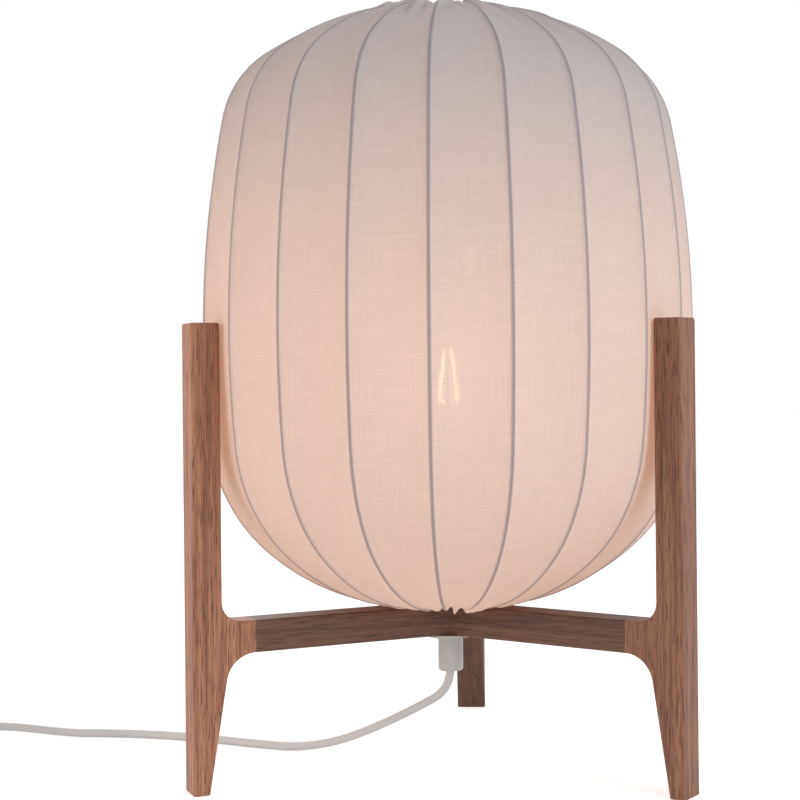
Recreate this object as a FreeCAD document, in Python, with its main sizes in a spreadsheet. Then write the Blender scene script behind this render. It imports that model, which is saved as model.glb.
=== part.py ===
"""Tripod table lamp: three legs and three mitred rails of stained oak carry a ribbed fabric shade.

Modelled about the hub's axis, +Z up, floor at zero, the rear leg on +Y, and written out with the origin
in the middle of the lamp's footprint. Lengths in mm, angles in degrees.
"""
import FreeCAD, Part
import math
import os
import re

import Sketcher

V = FreeCAD.Vector
UP = V(0, 0, 1)
DOC = FreeCAD.newDocument("tripod_table_lamp")

# ---------------------------------------------------------------- driving dimensions
SIZES = {
    # oak frame
    "footprint_shift": (8.3, "hub axis to the middle of the lamp's box, toward the rear leg"),
    "leg_reach": (171.5, "hub axis to the outer face of a leg"),
    "leg_thick": (20.0, "leg stock, across the radial plane"),
    "leg_depth": (17.9, "leg, outer to inner face above the rail"),
    "leg_rise": (280.0, "leg length, floor to top"),
    "foot_depth": (9.8, "leg, outer to inner face at the floor"),
    "leg_easing": (1.6, "rounding of the leg's long edges"),
    "throat_top": (12.0, "fillet above the stub that meets the rail"),
    "throat_low": (18.0, "fillet below that stub"),
    "rail_base": (82.0, "underside of the rails above the floor"),
    "rail_deep": (19.5, "rail height"),
    "rail_thick": (20.0, "rail width"),
    "rail_reach": (133.0, "hub axis to the glued joint with the leg"),
    "rail_easing": (1.5, "rounding of the rail's long edges"),
    "hub_bore": (5.3, "radius of the hole down the hub"),
    "dowel_radius": (3.0, "joint dowels"),
    "dowel_long": (28.0, "dowel length"),
    "dowel_pitch": (9.0, "between the two dowels of a joint"),
    "dowel_slack": (0.1, "glue room round a dowel"),
    # hub fittings
    "tube_radius": (5.0, "M10 threaded tube, outside"),
    "tube_bore": (4.0, "the same, inside"),
    "tube_slack": (0.06, "clearance of what the tube passes through"),
    "disc_radius": (15.7, "white disc under the hub"),
    "disc_thick": (1.5, "its thickness"),
    "grip_radius": (8.0, "cord grip"),
    "grip_long": (22.5, "its length"),
    "grip_round": (1.8, "rounding of its lower rim"),
    "grip_thread": (11.0, "depth of its threaded bore"),
    "grip_screw_radius": (2.0, "clamp screw"),
    "grip_screw_long": (5.0, "clamp screw length"),
    "grip_screw_drop": (15.5, "clamp screw below the grip's top"),
    "plate_radius": (23.0, "steel plate on top of the hub"),
    "plate_thick": (1.5, "its thickness"),
    "plate_screw_reach": (16.0, "hub axis to the plate's screws"),
    "screw_radius": (1.5, "wood screw shank"),
    "screw_head": (3.1, "its countersunk head"),
    "screw_long": (14.0, "its length"),
    "screw_slack": (0.15, "room round the screw"),
    "nut_flat": (7.0, "half the width across flats of an M10 nut"),
    "nut_thick": (4.0, "nut thickness"),
    "washer_radius": (9.5, "washer under the upper nut"),
    "washer_thick": (1.0, "its thickness"),
    # lampholder
    "holder_base": (161.0, "foot of the lampholder above the floor"),
    "holder_neck": (8.0, "radius of its threaded neck"),
    "holder_neck_long": (5.0, "neck length"),
    "holder_radius": (19.5, "sleeve that the ring nut screws on"),
    "holder_cap_rise": (22.0, "cap height"),
    "holder_wall": (2.0, "wall of the mouldings"),
    "holder_sleeve_rise": (29.0, "sleeve height above the cap"),
    "holder_flange": (24.0, "shoulder that carries the shade's collar"),
    "holder_flange_thick": (2.5, "its thickness"),
    "socket_radius": (14.4, "inside of the sleeve"),
    "shell_wall": (0.5, "threaded metal liner"),
    "block_thick": (3.6, "contact block at the socket's floor"),
    "ring_radius": (26.0, "ring nut, outside"),
    "ring_rise": (7.0, "ring nut height"),
    "ring_slack": (0.08, "ring nut on the sleeve"),
    # lamp bulb, 60 mm clear filament type on a 27 mm screw cap
    "bulb_base": (187.4, "tip of the bulb's contact above the floor"),
    "cap_radius": (13.1, "screw cap"),
    "cap_rise": (25.5, "cap height above the tip"),
    "cap_wall": (0.4, "cap metal"),
    "neck_radius": (12.4, "glass neck"),
    "glass_radius": (30.0, "widest radius of the glass"),
    "glass_rise": (104.0, "bulb height over all"),
    "glass_wall": (0.9, "glass thickness"),
    "filament_radius": (0.9, "one filament stick"),
    "lead_radius": (0.35, "wire that carries a filament"),
    "filament_long": (33.0, "its length"),
    "filament_low": (232.0, "its lower end above the floor"),
    "filament_wide": (8.5, "bulb axis to a filament's foot"),
    "filament_narrow": (3.4, "bulb axis to a filament's head"),
    "bulb_lift": (14.5, "travel of the bulb out of its thread"),
    # shade: the outline of one rib, from the lower ring to the upper
    "rib_count": (21.0, "ribs round the shade"),
    "rib_turn": (1.5, "first rib, past the front"),
    "mouth_radius": (33.0, "gathered lower end"),
    "mouth_height": (102.4, "its underside above the floor"),
    "hip_radius": (123.0, "end of the bottom curve"),
    "hip_height": (145.3, "the same, above the floor"),
    "side_radius": (151.8, "start of the side"),
    "side_height": (209.8, "the same, above the floor"),
    "shoulder_radius": (142.3, "end of the side"),
    "shoulder_height": (406.0, "the same, above the floor"),
    "brow_radius": (116.3, "end of the shoulder curve"),
    "brow_height": (446.0, "the same, above the floor"),
    "crown_radius": (48.0, "gathered upper end"),
    "crown_height": (476.0, "the same, above the floor"),
    "bottom_bend": (146.7, "radius of the bottom curve"),
    "hip_bend": (105.5, "radius of the hip"),
    "side_bend": (682.0, "radius of the side"),
    "shoulder_bend": (63.7, "radius of the shoulder"),
    "crown_bend": (191.5, "radius of the crown"),
    "hem_roll": (2.6, "radius of the hem round the rings"),
    "cloth_thick": (0.9, "cover"),
    "rib_gap": (0.35, "rib under the cover"),
    "rib_thick": (1.6, "rib strip, across the cover"),
    "rib_wide": (3.2, "rib strip, along the cover"),
    "ring_wire": (1.5, "radius of the two ring wires"),
    "collar_thick": (1.2, "collar on the lampholder"),
    "arm_wide": (5.0, "arm from collar to lower ring"),
    # cord and what is on it
    "cord_radius": (2.75, "round flex"),
    "coil_radius": (40.0, "outermost turn of the coil"),
    "coil_step": (6.1, "turn to turn"),
    "coil_rise": (6.0, "layer to layer"),
    "coil_turns": (2.75, "turns in one layer"),
    "coil_dip": (1.0, "closing in of the turn that climbs to the upper layer"),
    "switch_long": (62.0, "in-line switch"),
    "switch_wide": (27.0, "its width"),
    "switch_tall": (18.0, "its height"),
    "switch_split": (9.0, "height of its lower shell"),
    "switch_wall": (2.0, "its wall"),
    "rocker_long": (21.0, "rocker"),
    "rocker_wide": (11.0, "its width"),
    "rocker_slack": (0.6, "gap round the rocker"),
    "rocker_tilt": (7.0, "rocker tilt, either way"),
    "rocker_proud": (1.6, "rocker above the cover at its middle"),
    "pivot_radius": (1.2, "rocker pins"),
    "pivot_slack": (0.05, "running clearance of the pins"),
    "plug_long": (36.0, "flat two-pin plug"),
    "plug_wide": (35.3, "its width at the pins"),
    "plug_tall": (13.7, "its height"),
    "plug_waist": (21.0, "its width at the cord"),
    "plug_round": (3.0, "its edge rounding"),
    "relief_long": (15.0, "strain relief behind it"),
    "pin_radius": (2.0, "plug pins"),
    "pin_long": (19.0, "their length"),
    "pin_pitch": (18.6, "between the pins"),
}

sheet = DOC.addObject("Spreadsheet::Sheet", "Sizes")
for row, (alias, (value, note)) in enumerate(SIZES.items(), start=1):
    sheet.set(f"A{row}", alias)
    sheet.set(f"B{row}", str(value))
    sheet.set(f"C{row}", note)
    sheet.setAlias(f"B{row}", alias)
DOC.recompute()

NODES = []


def linked(formula):
    """A formula in the sizes' own names, as an expression on the sheet."""
    return re.sub(r"[a-z][a-z_]*", lambda w: "Sizes." + w[0] if w[0] in SIZES else w[0], formula)


def size(formula):
    """The present value of such a formula."""
    value = sheet.evalExpression(linked(formula))
    return float(getattr(value, "Value", value))


def node(made, label):
    made.Label = label
    NODES.append(made)
    return made


# ---------------------------------------------------------------- sketches and bodies
def side_of(start, end, bend):
    """Middle of the arc from start to end with radius |bend|, turning left where bend is positive."""
    chord = end - start
    half = chord.Length / 2
    sag = abs(bend) - math.sqrt(max(bend * bend - half * half, 0.0))
    out = V(chord.y, -chord.x, 0).normalize() * (sag if bend > 0 else -sag)
    return (start + end) * 0.5 + out


def draw(sketch, corners):
    """A closed outline: each corner is (across, up) or (across, up, bend of the edge that leaves it)."""
    points = [V(size(c[0]), size(c[1]), 0) for c in corners]
    starts = []
    for i, corner in enumerate(corners):
        here, there = points[i], points[(i + 1) % len(points)]
        if len(corner) == 2:
            sketch.addGeometry(Part.LineSegment(here, there))
            starts.append((1, 2))
        else:
            left = not corner[2].startswith("-")
            bend = size(corner[2])
            sketch.addGeometry(Part.Arc(here, side_of(here, there, bend), there))
            starts.append((1, 2) if left else (2, 1))
            at = sketch.addConstraint(Sketcher.Constraint("Radius", i, abs(bend)))
            sketch.renameConstraint(at, f"bend{i}")
            sketch.setExpression(f"Constraints.bend{i}", linked(corner[2].lstrip("-")))
    for i in range(len(corners)):
        after = (i + 1) % len(corners)
        sketch.addConstraint(Sketcher.Constraint("Coincident", i, starts[i][1], after, starts[after][0]))
    for i, corner in enumerate(corners):
        for way, axis, line, text in (("DistanceX", "x", -2, corner[0]), ("DistanceY", "y", -1, corner[1])):
            value = size(text)
            if abs(value) < 1e-9:
                sketch.addConstraint(Sketcher.Constraint("PointOnObject", i, starts[i][0], line))
                continue
            at = sketch.addConstraint(Sketcher.Constraint(way, -1, 1, i, starts[i][0], value))
            sketch.renameConstraint(at, f"{axis}{i}")
            sketch.setExpression(f"Constraints.{axis}{i}", linked(text))


def body_with(label):
    return node(DOC.addObject("PartDesign::Body", label), label)


def sketch_on(body, plane, lift=None):
    """An empty sketch on one of the body's own planes, lifted along the plane's normal."""
    sketch = body.newObject("Sketcher::SketchObject", body.Name + "_sketch")
    base = next(f for f in body.Origin.OriginFeatures if f.Role == plane)
    sketch.AttachmentSupport = [(base, "")]
    sketch.MapMode = "FlatFace"
    if lift:
        sketch.setExpression("AttachmentOffset.Base.z", linked(lift))
    return sketch


def revolve(body, corners):
    """A turned piece: the outline stands in the plane of X and Z and turns about Z."""
    sketch = sketch_on(body, "XZ_Plane")
    draw(sketch, corners)
    turned = body.newObject("PartDesign::Revolution", body.Name + "_turned")
    turned.Profile = sketch
    turned.ReferenceAxis = (sketch, ["V_Axis"])
    turned.Angle = 360
    return turned


def pad(body, plane, corners, long, lift=None, middle=False):
    sketch = sketch_on(body, plane, lift)
    draw(sketch, corners)
    grown = body.newObject("PartDesign::Pad", body.Name + "_pad")
    grown.Profile = sketch
    grown.setExpression("Length", linked(long))
    grown.SideType = "Symmetric" if middle else "One side"
    return grown


def holes(body, plane, rounds, long, lift, middle=False, back=False):
    """Round holes: each is (across, up, radius)."""
    sketch = sketch_on(body, plane, lift)
    for i, (across, up, radius) in enumerate(rounds):
        centre = V(size(across), size(up), 0)
        sketch.addGeometry(Part.Circle(centre, V(0, 0, 1), size(radius)))
        at = sketch.addConstraint(Sketcher.Constraint("Radius", i, size(radius)))
        sketch.renameConstraint(at, f"r{i}")
        sketch.setExpression(f"Constraints.r{i}", linked(radius))
        for way, axis, line, text in (("DistanceX", "x", -2, across), ("DistanceY", "y", -1, up)):
            if abs(size(text)) < 1e-9:
                sketch.addConstraint(Sketcher.Constraint("PointOnObject", i, 3, line))
                continue
            at = sketch.addConstraint(Sketcher.Constraint(way, -1, 1, i, 3, size(text)))
            sketch.renameConstraint(at, f"{axis}{i}")
            sketch.setExpression(f"Constraints.{axis}{i}", linked(text))
    DOC.recompute()
    before = body.Shape.Volume
    cut = body.newObject("PartDesign::Pocket", body.Name + "_holes")
    cut.Profile = sketch
    cut.setExpression("Length", linked(long))
    cut.SideType = "Symmetric" if middle else "One side"
    cut.Reversed = back
    DOC.recompute()
    if body.Shape.Volume >= before:
        raise RuntimeError(f"{body.Label}: its holes cut nothing")
    return cut


def ease(body, radius, wanted, name="eased"):
    """Rounds the edges of the body's last feature that the test picks."""
    DOC.recompute()
    base = body.Tip
    picked = [f"Edge{i}" for i, edge in enumerate(base.Shape.Edges, start=1) if wanted(edge)]
    if not picked:
        raise RuntimeError(f"{body.Label}: no edge to round")
    rounded = body.newObject("PartDesign::Fillet", f"{body.Name}_{name}")
    rounded.Base = (base, picked)
    rounded.setExpression("Radius", linked(radius))
    return rounded


def turned_by(made, angle):
    made.Placement = FreeCAD.Placement(V(0, 0, 0), FreeCAD.Rotation(UP, angle))


def solid(label, shape):
    """A sub-part whose shape is worked out from the sizes directly."""
    made = DOC.addObject("Part::Feature", label)
    made.Shape = shape
    return node(made, label)


def bar(radius, start, end):
    along = end - start
    return Part.makeCylinder(radius, along.Length, start, along)


LEGS = {"left": 210.0, "right": 330.0, "rear": 90.0}
RAIL_TOP = "(rail_base + rail_deep)"

# ---------------------------------------------------------------- legs and rails
LEAN = "atan((leg_depth - foot_depth) / (rail_base - throat_low))"


def on_outside(edge):
    """Edges of the leg that a hand meets: not those of the glued face or of the foot."""
    box = edge.BoundBox
    return box.XMax > size("rail_reach") + 0.01 and box.ZMax > 0.01 and not (
        abs(box.ZMin) < 0.01 and box.ZLength < 0.01
    ) and not (box.YLength > size("leg_thick") - 0.01 and box.ZMax < size("leg_rise") - 0.01)


def leg(place, angle):
    body = body_with(f"leg_{place}")
    inner = "leg_reach - leg_depth"
    pad(body, "XZ_Plane", [
        ("leg_reach - foot_depth", "0"),
        ("leg_reach", "0"),
        ("leg_reach", "leg_rise"),
        (inner, "leg_rise"),
        (inner, f"{RAIL_TOP} + throat_top", "-throat_top"),
        (f"{inner} - throat_top", RAIL_TOP),
        ("rail_reach", RAIL_TOP),
        ("rail_reach", "rail_base", "-throat_low"),
        (f"rail_reach + throat_low * cos({LEAN})", f"rail_base - throat_low * (1 - sin({LEAN}))"),
    ], "leg_thick", middle=True)
    ease(body, "leg_easing", on_outside)
    drill_for_dowels(body)
    turned_by(body, angle)


def drill_for_dowels(body):
    """Two blind holes, one over the other, half in the leg and half in the rail."""
    middle = "rail_base + rail_deep / 2"
    holes(body, "YZ_Plane", [
        ("0", f"{middle} - dowel_pitch / 2", "dowel_radius + dowel_slack"),
        ("0", f"{middle} + dowel_pitch / 2", "dowel_radius + dowel_slack"),
    ], "dowel_long + 1", "rail_reach", middle=True)


def rail(place, angle):
    body = body_with(f"rail_{place}")
    mitre = "rail_thick / 2 / tan(60 deg)"
    pad(body, "XY_Plane", [
        ("0", "0"),
        (mitre, "-rail_thick / 2"),
        ("rail_reach", "-rail_thick / 2"),
        ("rail_reach", "rail_thick / 2"),
        (mitre, "rail_thick / 2"),
    ], "rail_deep", lift="rail_base")
    ease(body, "rail_easing", lambda edge: edge.BoundBox.XLength > size("rail_reach") / 2)
    holes(body, "XY_Plane", [("0", "0", "hub_bore")], "rail_deep + 2", "rail_base - 1", back=True)
    drill_for_dowels(body)
    holes(body, "XY_Plane", [("plate_screw_reach", "0", "screw_radius")],
          "screw_long - plate_thick + 1", RAIL_TOP)
    turned_by(body, angle)


for place, angle in LEGS.items():
    leg(place, angle)
    rail(place, angle)

dowels = []
for angle in LEGS.values():
    turn = FreeCAD.Rotation(UP, angle)
    for way in (-1, 1):
        height = size(f"rail_base + rail_deep / 2 + {way} * dowel_pitch / 2")
        near = turn.multVec(V(size("rail_reach - dowel_long / 2"), 0, height))
        far = turn.multVec(V(size("rail_reach + dowel_long / 2"), 0, height))
        dowels.append(bar(size("dowel_radius"), near, far))
solid("joint_dowels", Part.makeCompound(dowels))

# ---------------------------------------------------------------- hub fittings
BORE = "tube_radius + tube_slack"
GRIP_TOP = "(rail_base - disc_thick)"
GRIP_BASE = f"({GRIP_TOP} - grip_long)"
PLATE_TOP = f"({RAIL_TOP} + plate_thick)"
TUBE_BASE = f"({GRIP_TOP} - grip_thread + 1)"
TUBE_TOP = "(holder_base + holder_neck_long + 1)"


def washer(label, radius, low, thick):
    revolve(body_with(label), [
        (BORE, low),
        (radius, low),
        (radius, f"{low} + {thick}"),
        (BORE, f"{low} + {thick}"),
    ])


def hex_nut(label, low):
    body = body_with(label)
    corner = "nut_flat / cos(30 deg)"
    pad(body, "XY_Plane", [
        (f"{corner} * cos({60 * k} deg)", f"{corner} * sin({60 * k} deg)") for k in range(6)
    ], "nut_thick", lift=low)
    holes(body, "XY_Plane", [("0", "0", BORE)], "nut_thick + 2", f"{low} - 1", back=True)


washer("hub_disc", "disc_radius", GRIP_TOP, "disc_thick")
washer("hub_washer", "washer_radius", PLATE_TOP, "washer_thick")
hex_nut("hub_nut", f"({PLATE_TOP} + washer_thick)")
hex_nut("holder_nut", "(holder_base - nut_thick)")
revolve(body_with("threaded_tube"), [
    ("tube_bore", TUBE_BASE),
    ("tube_radius", TUBE_BASE),
    ("tube_radius", TUBE_TOP),
    ("tube_bore", TUBE_TOP),
])

grip = body_with("cord_grip")
revolve(grip, [
    ("cord_radius", GRIP_BASE),
    ("grip_radius - grip_round", GRIP_BASE, "grip_round"),
    ("grip_radius", f"{GRIP_BASE} + grip_round"),
    ("grip_radius", GRIP_TOP),
    (BORE, GRIP_TOP),
    (BORE, f"{GRIP_TOP} - grip_thread"),
    ("cord_radius", f"{GRIP_TOP} - grip_thread"),
])
holes(grip, "YZ_Plane", [("0", f"{GRIP_TOP} - grip_screw_drop", "grip_screw_radius + screw_slack / 3")],
      "grip_radius", "cord_radius + 0.4", back=True)
turned_by(grip, 20.0)
screw_mid = size(f"{GRIP_TOP} - grip_screw_drop")
screw_in = size("grip_radius - grip_screw_long - 0.2")
grip_screw = bar(size("grip_screw_radius"), V(screw_in + 0.9, 0, screw_mid),
                 V(screw_in + size("grip_screw_long"), 0, screw_mid))
turned_by(solid("grip_screw", grip_screw), 20.0)

plate = body_with("hub_plate")
revolve(plate, [
    (BORE, RAIL_TOP),
    ("plate_radius", RAIL_TOP),
    ("plate_radius", PLATE_TOP),
    (BORE, PLATE_TOP),
])
for angle in LEGS.values():
    reach = f"plate_screw_reach * {math.cos(math.radians(angle)):.9f}"
    across = f"plate_screw_reach * {math.sin(math.radians(angle)):.9f}"
    holes(plate, "XY_Plane", [(reach, across, "screw_head + screw_slack")],
          "plate_thick + 2", f"{RAIL_TOP} - 1", back=True)
screws = []
for angle in LEGS.values():
    spot = FreeCAD.Rotation(UP, angle).multVec(V(size("plate_screw_reach"), 0, size(PLATE_TOP)))
    head = Part.makeCone(size("screw_radius"), size("screw_head"), size("plate_thick"),
                         spot - UP * size("plate_thick"), UP)
    shank = bar(size("screw_radius") - 0.05, spot - UP * size("screw_long"), spot - UP * size("plate_thick"))
    screws.append(head.fuse(shank).removeSplitter())
solid("plate_screws", Part.makeCompound(screws))

# ---------------------------------------------------------------- lampholder
CAP_TOP = "(holder_base + holder_cap_rise)"
SLEEVE_TOP = f"({CAP_TOP} + holder_sleeve_rise)"
FLANGE_TOP = f"({CAP_TOP} + holder_flange_thick)"
COLLAR_TOP = f"({FLANGE_TOP} + collar_thick)"
BLOCK_TOP = f"({CAP_TOP} + block_thick)"

revolve(body_with("holder_cap"), [
    (BORE, "holder_base"),
    ("holder_neck", "holder_base"),
    ("holder_neck", "holder_base + holder_neck_long"),
    ("holder_radius", f"{CAP_TOP} - 8", "holder_radius * 0.9"),
    ("holder_radius", CAP_TOP),
    ("holder_radius - holder_wall", CAP_TOP),
    ("holder_radius - holder_wall", f"{CAP_TOP} - 8 + holder_wall / 2"),
    ("holder_neck", "holder_base + holder_neck_long + holder_wall"),
    (BORE, "holder_base + holder_neck_long + holder_wall"),
])
revolve(body_with("holder_sleeve"), [
    ("socket_radius", CAP_TOP),
    ("holder_flange", CAP_TOP),
    ("holder_flange", FLANGE_TOP),
    ("holder_radius", FLANGE_TOP),
    ("holder_radius", SLEEVE_TOP),
    ("socket_radius", SLEEVE_TOP),
])
revolve(body_with("contact_block"), [
    ("0", f"{CAP_TOP} - 3"),
    ("socket_radius - 1", f"{CAP_TOP} - 3"),
    ("socket_radius - 1", CAP_TOP),
    ("socket_radius", CAP_TOP),
    ("socket_radius", f"{BLOCK_TOP} - 0.4"),
    ("0", f"{BLOCK_TOP} - 0.4"),
])
revolve(body_with("centre_contact"), [
    ("0", f"{BLOCK_TOP} - 0.4"),
    ("4.5", f"{BLOCK_TOP} - 0.4"),
    ("4.5", BLOCK_TOP),
    ("0", f"{BLOCK_TOP} + 0.4"),
])
revolve(body_with("socket_liner"), [
    ("socket_radius - shell_wall", f"{BLOCK_TOP} - 0.4"),
    ("socket_radius", f"{BLOCK_TOP} - 0.4"),
    ("socket_radius", f"{SLEEVE_TOP} - 2"),
    ("socket_radius - shell_wall", f"{SLEEVE_TOP} - 2"),
])
revolve(body_with("ring_nut"), [
    ("holder_radius + ring_slack", COLLAR_TOP),
    ("ring_radius", COLLAR_TOP),
    ("ring_radius", f"{COLLAR_TOP} + ring_rise * 0.4"),
    ("ring_radius - 2", f"{COLLAR_TOP} + ring_rise"),
    ("holder_radius + ring_slack", f"{COLLAR_TOP} + ring_rise"),
])

# ---------------------------------------------------------------- bulb
CAP_RIM = "(bulb_base + cap_rise)"
GLOBE = "(bulb_base + glass_rise - glass_radius)"

revolve(body_with("bulb_contact"), [
    ("0", "bulb_base"),
    ("3", "bulb_base"),
    ("4.5", "bulb_base + 1"),
    ("0", "bulb_base + 1"),
])
revolve(body_with("bulb_insulator"), [
    ("0", "bulb_base + 1"),
    ("4.5", "bulb_base + 1"),
    ("cap_radius - 2.5", "bulb_base + 4"),
    ("0", "bulb_base + 4"),
])
revolve(body_with("bulb_cap"), [
    ("0", "bulb_base + 4"),
    ("cap_radius - 2.5", "bulb_base + 4"),
    ("cap_radius", "bulb_base + 6.5"),
    ("cap_radius", f"{CAP_RIM} - 2"),
    ("cap_radius + 0.3", CAP_RIM),
    ("cap_radius - cap_wall + 0.1", CAP_RIM),
    ("cap_radius - cap_wall", f"{CAP_RIM} - 3"),
    ("cap_radius - cap_wall", "bulb_base + 6.5 + cap_wall"),
    ("0", "bulb_base + 4 + cap_wall"),
])
revolve(body_with("bulb_glass"), [
    ("neck_radius - glass_wall", f"{CAP_RIM} - 6"),
    ("neck_radius", f"{CAP_RIM} - 6"),
    ("neck_radius + 0.2", f"{CAP_RIM} + 1", "-70"),
    ("glass_radius * cos(35 deg)", f"{GLOBE} - glass_radius * sin(35 deg)", "glass_radius"),
    ("glass_radius", GLOBE, "glass_radius"),
    ("0", "bulb_base + glass_rise"),
    ("0", "bulb_base + glass_rise - glass_wall", "-glass_radius + glass_wall"),
    ("glass_radius - glass_wall", GLOBE, "-glass_radius + glass_wall"),
    ("(glass_radius - glass_wall) * cos(35 deg)",
     f"{GLOBE} - (glass_radius - glass_wall) * sin(35 deg)", "70"),
    ("neck_radius + 0.2 - glass_wall", f"{CAP_RIM} + 1.4"),
])
revolve(body_with("bulb_stem"), [
    ("0", f"{CAP_RIM} - 6"),
    ("neck_radius - glass_wall", f"{CAP_RIM} - 6"),
    ("neck_radius - glass_wall", f"{CAP_RIM} - 5"),
    ("3.2", f"{CAP_RIM} + 3"),
    ("2.2", "filament_low + 2"),
    ("1.6", "filament_low + filament_long - 2"),
    ("0", "filament_low + filament_long"),
])
filaments = []
DOC.recompute()
stem = next(n for n in NODES if n.Label == "bulb_stem").Shape
for k in range(4):
    turn = FreeCAD.Rotation(UP, 45.0 + 90.0 * k)
    foot = turn.multVec(V(size("filament_wide"), 0, size("filament_low")))
    lean = size("filament_wide - filament_narrow") / size("filament_long")
    rise = size("filament_long") * math.sqrt(1 - lean * lean)
    head = turn.multVec(V(size("filament_narrow"), 0, size("filament_low") + rise))
    post = turn.multVec(V(1.5, 0, size("filament_low") - 3.5))
    lead = bar(size("lead_radius"), post, foot + (head - foot).normalize() * size("lead_radius"))
    filaments.append(bar(size("filament_radius"), foot, head).fuse(lead).cut(stem))
solid("bulb_filaments", Part.makeCompound(filaments))

# ---------------------------------------------------------------- shade
COUNT = int(size("rib_count"))


def rib_line():
    """Edges of one rib's outline in the plane of X and Z, lower ring to upper ring."""
    knots = ("mouth", "hip", "side", "shoulder", "brow", "crown")
    bends = ("bottom_bend", "hip_bend", "side_bend", "shoulder_bend", "crown_bend")
    spots = [V(size(k + "_radius"), size(k + "_height"), 0) for k in knots]
    edges = []
    for start, end, bend in zip(spots, spots[1:], bends):
        middle = side_of(start, end, size(bend))
        edges.append(Part.Arc(*[V(p.x, 0, p.y) for p in (start, middle, end)]).toShape())
    return edges


def hem(edge, at_start):
    """The hem that rolls inward round a ring, from an end of the outline; and its centre."""
    spot = edge.valueAt(edge.FirstParameter if at_start else edge.LastParameter)
    along = edge.tangentAt(edge.FirstParameter if at_start else edge.LastParameter)
    inward = V(-along.z, 0, along.x)
    roll = size("hem_roll")
    centre = spot + inward * roll
    side = along * (-roll if at_start else roll)
    corners = [centre + inward * roll, centre + side, spot]
    if not at_start:
        corners.reverse()
    return Part.Arc(*corners).toShape(), centre


LINE = rib_line()
LOW_HEM, LOW_RING = hem(LINE[0], True)
HIGH_HEM, HIGH_RING = hem(LINE[-1], False)


def strip(edges, near, far):
    """The closed outline between two curves that lie near and far inside the outline."""
    wire = Part.Wire(edges)
    outer = wire if near == 0 else inside(wire, near)
    inner = inside(wire, far)
    ends = [[c.Edges[0].valueAt(c.Edges[0].FirstParameter), c.Edges[-1].valueAt(c.Edges[-1].LastParameter)]
            for c in (outer, inner)]
    caps = [Part.makeLine(ends[0][1], ends[1][1]), Part.makeLine(ends[1][0], ends[0][0])]
    return Part.Wire(Part.__sortEdges__(outer.Edges + [caps[0]] + inner.Edges + [caps[1]]))


def inside(wire, by):
    """The same run of arcs moved inward, toward the shade's axis."""
    edges = []
    for edge in wire.Edges:
        spots = []
        for share in (0.0, 0.5, 1.0):
            at = edge.FirstParameter + share * (edge.LastParameter - edge.FirstParameter)
            along = edge.tangentAt(at)
            spots.append(edge.valueAt(at) + V(-along.z, 0, along.x) * by)
        edges.append(Part.Arc(*spots).toShape())
    for first, second in zip(edges, edges[1:]):
        gap = (first.valueAt(first.LastParameter) - second.valueAt(second.FirstParameter)).Length
        if gap > 0.6:
            raise RuntimeError("the shade's outline has a kink")
    return Part.Wire(joined(edges))


def joined(edges):
    """Arcs whose ends meet exactly, each end at the middle of what it joins."""
    ends = [e.valueAt(e.FirstParameter) for e in edges] + [edges[-1].valueAt(edges[-1].LastParameter)]
    for i in range(1, len(edges)):
        ends[i] = (ends[i] + edges[i - 1].valueAt(edges[i - 1].LastParameter)) * 0.5
    return [Part.Arc(ends[i], e.valueAt((e.FirstParameter + e.LastParameter) / 2), ends[i + 1]).toShape()
            for i, e in enumerate(edges)]


def round_shade(shape, k):
    made = shape.copy()
    made.rotate(V(0, 0, 0), UP, 270.0 + size("rib_turn") + 360.0 * k / COUNT)
    return made


# The cover is sewn from panels that are flat from rib to rib, so each is a ruled solid between two ribs.
cloth = strip([LOW_HEM, *LINE, HIGH_HEM], 0, size("cloth_thick"))
panels = [Part.makeLoft([round_shade(cloth, k), round_shade(cloth, k + 1)], True, True) for k in range(COUNT)]
solid("shade_cover", Part.makeCompound(panels))

low = size("cloth_thick + rib_gap")
rib = Part.Face(strip(LINE, low, low + size("rib_thick")))
rib.translate(V(0, -size("rib_wide") / 2, 0))
rib = rib.extrude(V(0, size("rib_wide"), 0))
rings = [Part.makeTorus(c.x, size("ring_wire"), V(0, 0, c.z)) for c in (LOW_RING, HIGH_RING)]
cage = rings[0].multiFuse([rings[1]] + [round_shade(rib, k) for k in range(COUNT)])
solid("shade_cage", cage)

collar = body_with("shade_collar")
revolve(collar, [
    ("holder_radius + ring_slack", FLANGE_TOP),
    ("holder_flange + 1", FLANGE_TOP),
    ("holder_flange + 1", COLLAR_TOP),
    ("holder_radius + ring_slack", COLLAR_TOP),
])
arms = []
for k in range(3):
    top = V(size("holder_flange") + 1, 0, size(COLLAR_TOP))
    thick = V(size("collar_thick"), 0, 0)
    foot = V(LOW_RING.x + size("rib_gap"), 0, LOW_RING.z) + thick * 0.5
    knee = V(top.x + 4, 0, top.z)
    side = V(0, size("arm_wide"), 0)
    drop = V(0, 0, -size("collar_thick"))
    outline = Part.makePolygon([top, knee, foot + thick * 0.5, foot - thick * 0.5, knee + drop - thick,
                                top + drop, top])
    arm = Part.Face(outline)
    arm.translate(side * -0.5)
    arm = arm.extrude(side)
    arm.rotate(V(0, 0, 0), UP, 30.0 + 120.0 * k)
    arms.append(arm.cut(rings[0]))
solid("shade_arms", Part.makeCompound(arms))

# ---------------------------------------------------------------- cord
RADIUS = size("cord_radius")
GRIP_MOUTH = size(GRIP_BASE)
SWITCH_X, SWITCH_Y, SWITCH_Z = -326.0, 54.0, 8.0
SWITCH_FAR = SWITCH_X - size("switch_long")
COIL_SIDE = -429.4
COIL_Y = -14.0
PLUG_AT = V(-389.4, -78.2, size("plug_tall") / 2)

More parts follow.
